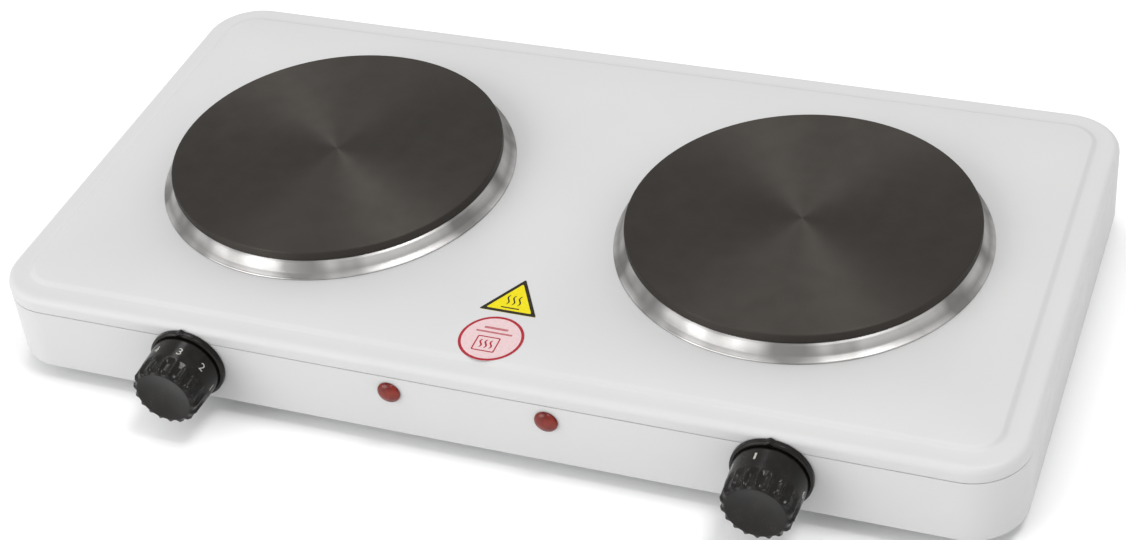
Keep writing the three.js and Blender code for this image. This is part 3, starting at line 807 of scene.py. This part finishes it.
def dial_numbers(name):
    """The off bar and the numbers, wrapped round the knob's skirt with their tops towards the wall."""
    stand_off = 0.01              # keeps the middle of the relief just outside the skirt
    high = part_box(f"dial_knob_{name}")[1]
    axis = dial_axes[f"dial_{name}"]
    vertices = []
    faces = []
    for i, text in enumerate(MARKS):
        is_off = text == "off"
        mesh = bar_mesh(*BAR_SIZE) if is_off else glyph_mesh(text, NUMBER_SIZE)
        depth = BAR_DEPTH if is_off else NUMBER_DEPTH
        centre_angle = math.radians(OFF_ANGLE[name] - MARK_STEP * i)
        start = len(vertices)
        for vertex in mesh.vertices:
            along = -depth + vertex.co.y / MM
            radius = skirt_radius(-along) + vertex.co.z / MM + stand_off
            angle = centre_angle + vertex.co.x / MM / radius
            vertices.append((radius * math.sin(angle), along, radius * math.cos(angle)))
        faces += [tuple(start + v for v in face.vertices) for face in mesh.polygons]
    place = Vector((axis.x, high.y, axis.z))
    numbers = add_piece(f"numbers_{name}", vertices, faces, place)
    return finished(numbers, f"dial_{name}", "label_white", NUMBER_PAINT)


def pip_shape(radius, height, angle):
    """A small pointer at the top of the bezel's rim."""
    if radius < PIP_START:
        return radius
    off_top = min(angle, 2 * math.pi - angle)
    return radius + max(0, 1 - off_top / PIP_SPREAD) * PIP_HEIGHT


def dial_bezel(name):
    axis = dial_axes[f"dial_{name}"]
    profile = fillet([
        (BEZEL_BORE, BEZEL_FRONT), (15.4, -2.9, 1.0), (16.6, -3.1, 0.4), (BEZEL_RADIUS, BEZEL_FRONT, 0.6),
        (BEZEL_RADIUS, BEZEL_BACK, 0.2), (BEZEL_BORE, BEZEL_BACK),
    ], 4, closed=True)
    bezel = turned(f"bezel_{name}", profile, axis, 288, axis="Y", closed=True, warp=pip_shape,
                   sharp=SHARP_MOULDING)
    return finished(bezel, "chassis", "black_plastic", MATERIALS["black_plastic"], f"dial_bezel_{name}")


# ---- pilot lamps ----------------------------------------------------------------------------
def lamp_lens(name):
    """A hollow domed lens whose neck goes through the wall."""
    lens = centre_of(f"lamp_lens_{name}")
    place = Vector((lens.x, FRONT_WALL_Y, lens.z))
    radius, dome_back, dome_height, dome_steps = 5.2, -0.5, 2.4, 12
    neck, bore, neck_end = 4.4, 3.5, 6
    dome = [(radius * math.sin(a), dome_back - dome_height * math.cos(a))
            for a in (math.pi / 2 * i / dome_steps for i in range(dome_steps + 1))]
    outside = [(radius, -0.3), (neck, -0.3), (neck, neck_end), (bore, neck_end)]
    inside = [(bore, -0.4), (2.9, -1.0), (1.8, -1.6), (0, -1.9)]
    piece = turned(f"lens_{name}", dome + outside + inside, place, 96, axis="Y")
    return finished(piece, "chassis", "amber_lens", MATERIALS["amber_lens"], f"lamp_lens_{name}")


# ---- labels ---------------------------------------------------------------------------------
FILM = (0.10, 0.02)               # thickness, and height above the panel
INK = (0.03, 0.12)


def printed_film(name, loop, place, slot, node):
    piece = flat_piece(name, [loop], place, *FILM)
    finished(piece, "chassis", slot, MATERIALS[slot], node)


def ink_layer(name, loops, place, slot, material):
    finished(flat_piece(name, loops, place, *INK), "chassis", slot, material)


def triangle_loop(side, lift):
    """An upright triangle whose corners are slightly rounded; lift is its base above the label's base."""
    height = side * math.sqrt(3) / 2
    rounding = 0.6
    corners = [(-side / 2, lift, rounding), (side / 2, lift, rounding), (0, lift + height, rounding)]
    return fillet(corners, 5, closed=True)


def wave_loop(x, y, height, amplitude, width):
    """One upright wavy stroke, slimmer at its ends."""
    steps = 20
    left = []
    right = []
    for i in range(steps + 1):
        t = i / steps
        middle = x + amplitude * math.sin(2 * math.pi * t)
        slim = width / 2 * (0.45 + 0.55 * math.sin(math.pi * t))
        left.append((middle - slim, y + height * t))
        right.append((middle + slim, y + height * t))
    return right + list(reversed(left))


def rounded_loop(half_x, half_y, radius, x=0.0, y=0.0):
    corners = [(-half_x, -half_y, radius), (half_x, -half_y, radius),
               (half_x, half_y, radius), (-half_x, half_y, radius)]
    return [(x + u, y + v) for u, v in fillet(corners, 6, closed=True)]


def heat_label():
    """A yellow triangle with a dark border, and three wavy strokes over a short bar."""
    low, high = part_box("heat_label")
    place = Vector(((low.x + high.x) / 2, low.y, PANEL_Z))
    slot = "label_yellow"
    margin, lift, border = 0.6, 0.2, 1.55
    side = (high.x - low.x) / MM - margin
    inner = side - 2 * math.sqrt(3) * border
    outer_loop = triangle_loop(side, lift)
    printed_film("heat_label_film", outer_loop, place, slot, "heat_label")
    border_loops = [outer_loop, triangle_loop(inner, border + lift)]
    ink_layer("heat_label_border", border_loops, place, slot, BLACK_INK)
    waves = [wave_loop(2.6 * i, 5.4, 6.2, 0.65, 0.75) for i in (-1, 0, 1)]
    ink_layer("heat_label_marks", waves, place, slot, BLACK_INK)
    ink_layer("heat_label_bar", [rounded_loop(4.2, 0.35, 0.3, 0, 3.4)], place, slot, BLACK_INK)


def caution_label():
    """A pale disc with a red ring, two plain bars, and three waves in a square frame."""
    place = centre_of("caution_label")
    place.z = PANEL_Z
    low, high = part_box("caution_label")
    slot = "label_white"
    radius = (high.x - low.x) / 2 / MM
    ring = [circle_loop(radius - 0.1), circle_loop(radius - 1.35)]
    mark_x, mark_y = -0.9, -3.8
    frame_loops = [rounded_loop(5.2, 4.7, 0.9, mark_x, mark_y),
                   rounded_loop(4.6, 4.1, 0.5, mark_x, mark_y)]
    waves = [wave_loop(mark_x + 2.3 * i, -6.4, 5.2, 0.6, 0.9) for i in (-1, 0, 1)]
    bars = [rounded_loop(5.4, 0.65, 0.5, 0, 6.4), rounded_loop(8.2, 0.5, 0.4, 0, 3.7)]
    printed_film("caution_label_film", circle_loop(radius - 0.05), place, slot, "caution_label")
    ink_layer("caution_label_ring", ring, place, slot, RED_INK)
    ink_layer("caution_label_frame", frame_loops, place, slot, RED_INK)
    ink_layer("caution_label_marks", waves, place, slot, RED_INK)
    ink_layer("caution_label_bars", bars, place, slot, PALE_INK)


# ---- inlet, feet and screws -----------------------------------------------------------------
def cord_gland():
    """A rubber gland gripped round the rear wall, with three ribs that get smaller outwards."""
    gland = centre_of("cord_gland")
    place = Vector((gland.x, cover_high.y, gland.z))
    bore, end = 3.8, 9.4
    rib_start, rib_pitch, rib_depth, taper = 3.9, 1.8, 0.9, 0.25
    ribs = []
    for i in range(3):
        y = rib_start + rib_pitch * i
        radius = 7.9 - taper * (y - 3)
        ribs += [(radius - rib_depth, y - 0.5, 0.2), (radius, y, 0.25), (radius, y + 0.7, 0.25),
                 (radius - rib_depth, y + 1.1, 0.2)]
    inner_flange = [(bore, -4.3), (8, -4.3, 0.3), (8, -1.3, 0.3), (6, -1.3)]
    outer_flange = [(6, 0.3), (8.5, 0.3, 0.3), (8.5, 2.6, 0.8)]
    outer_end = [(5.6, end, 0.5), (bore, end, 0.3)]
    profile = fillet(inner_flange + outer_flange + ribs + outer_end, 3, closed=True)
    piece = turned("gland", profile, place, 96, axis="Y", closed=True, sharp=SHARP_MOULDING)
    return finished(piece, "chassis", "black_rubber", MATERIALS["black_rubber"], "cord_gland")


def rubber_foot(corner):
    """A foot with a screw hole that is wider below the seat of the screw's head."""
    low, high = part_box(f"foot_{corner}")
    place = Vector(((low.x + high.x) / 2, (low.y + high.y) / 2, 0))
    top = high.z / MM
    head_hole, screw_hole, seat = 4.2, 2.2, 4.5
    profile = fillet([
        (head_hole, 0, 0.4), (7.8, 0, 0.8), (9, top, 0.4), (screw_hole, top), (screw_hole, seat),
        (head_hole, seat, 0.3),
    ], 4, closed=True)
    foot = turned(f"rubber_foot_{corner}", profile, place, 72, closed=True, sharp=SHARP_MOULDING)
    return finished(foot, "chassis", "black_rubber", MATERIALS["black_rubber"], f"foot_{corner}")


def cross_screw(node, slot):
    """A pan-head screw, head down, with a cross recess."""
    low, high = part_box(node)
    place = Vector(((low.x + high.x) / 2, (low.y + high.y) / 2, low.z))
    head = (high.x - low.x) / 2 / MM
    top = (high.z - low.z) / MM
    shank, head_height, sharp = 1.9, 2.0, 45
    profile = fillet([
        (0, 0), (head * 0.55, 0.02, 2), (head, 1.0, 0.8), (head, head_height, 0.15), (shank, head_height),
        (shank, top, 0.5), (0, top),
    ], 5)
    screw = turned(node + "_head", profile, place, 48, sharp=sharp)
    arm, arm_width, recess = head * 0.62, 0.42, 1.1
    cutters = []
    for x, y in ((arm, arm_width), (arm_width, arm)):
        corners = [(sx * x, sy * y, z) for z in (-1, recess) for sy in (-1, 1) for sx in (-1, 1)]
        cutters.append(add_piece("cutter", corners, BOX_FACES, place))
    drilled(screw, cutters, sharp)
    return finished(screw, "chassis", slot, MATERIALS[slot], node)


# ---- nodes that keep their CAD shape --------------------------------------------------------
def finish_cad_nodes():
    slots = {row["node"]: row["material_slot"] for row in frame["record"]["subparts"]}
    for name, node in frame["nodes"].items():
        node.data.materials.clear()
        node.data.materials.append(MATERIALS[slots[name]])


# ---- studio ---------------------------------------------------------------------------------
LIGHT_TARGET = (0, 0, 0.03)
BRIGHT_SIDE = (-0.10, -0.50, 0.60)
# Strength of the surroundings where a direction's dot product with BRIGHT_SIDE would be -1 and 1.
WORLD_DIM, WORLD_BRIGHT = 0.44, 1.02


def add_floor():
    size = 4.0
    mesh = bpy.data.meshes.new("floor")
    mesh.from_pydata([(-size, -size, 0), (size, -size, 0), (size, size, 0), (-size, size, 0)], [],
                     [(0, 1, 2, 3)])
    floor = bpy.data.objects.new("floor", mesh)
    bpy.context.scene.collection.objects.link(floor)
    s = Shader("pale_floor", (0.93, 0.93, 0.93), 0.9, specular_ior_level=0.1)
    s.tint(s.spread(s.noise(400, 2), 0, 1), (0.925, 0.925, 0.925), (0.935, 0.935, 0.935))
    mesh.materials.append(s.material)


def area_light(name, place, size, power):
    """A round lamp aimed at the object, with its size in metres and its power in watts."""
    data = bpy.data.lights.new(name, "AREA")
    data.shape = "DISK"
    data.size = size
    data.energy = power
    light = bpy.data.objects.new(name, data)
    light.location = place
    light.rotation_mode = "QUATERNION"
    light.rotation_quaternion = (Vector(LIGHT_TARGET) - Vector(place)).to_track_quat("-Z", "Y")
    bpy.context.scene.collection.objects.link(light)


def add_lighting():
    world = bpy.data.worlds.new("studio")
    world.use_nodes = True
    nodes = world.node_tree.nodes
    links = world.node_tree.links
    background = nodes["Background"]
    background.inputs["Color"].default_value = (1, 1, 1, 1)
    # The surroundings are brightest overhead, and brighter in front than behind.
    direction = nodes.new("ShaderNodeTexCoord")
    towards_bright = nodes.new("ShaderNodeVectorMath")
    towards_bright.operation = "DOT_PRODUCT"
    towards_bright.inputs[1].default_value = BRIGHT_SIDE
    strength = nodes.new("ShaderNodeMapRange")
    ends = {"From Min": -1, "From Max": 1, "To Min": WORLD_DIM, "To Max": WORLD_BRIGHT}
    for socket, value in ends.items():
        strength.inputs[socket].default_value = value
    links.new(direction.outputs["Generated"], towards_bright.inputs[0])
    links.new(towards_bright.outputs["Value"], strength.inputs["Value"])
    links.new(strength.outputs["Result"], background.inputs["Strength"])
    bpy.context.scene.world = world
    area_light("key", (-0.50, 1.10, 2.20), 0.8, 8)
    area_light("top", (0.85, -0.10, 2.50), 0.8, 23)
    area_light("front", (-1.7, -2.1, 1.2), 2.4, 42)
    bpy.context.scene.view_settings.view_transform = "Standard"
    bpy.context.scene.view_settings.look = "None"


# ---- the whole object -----------------------------------------------------------------------
add_camera()
finish_cad_nodes()
top_cover()
body_shell()
for side_name in SIDES:
    hotplate(side_name)
    spill_ring(side_name)
    dial_knob(side_name)
    dial_numbers(side_name)
    dial_bezel(side_name)
    lamp_lens(side_name)
heat_label()
caution_label()
cord_gland()
for corner_name in CORNERS:
    rubber_foot(corner_name)
    cross_screw(f"foot_screw_{corner_name}", "plated_fastener")
    cross_screw(f"cover_screw_{corner_name}", "plated_fastener")
cross_screw("earth_screw", "brass_shaft")
add_floor()
add_lighting()
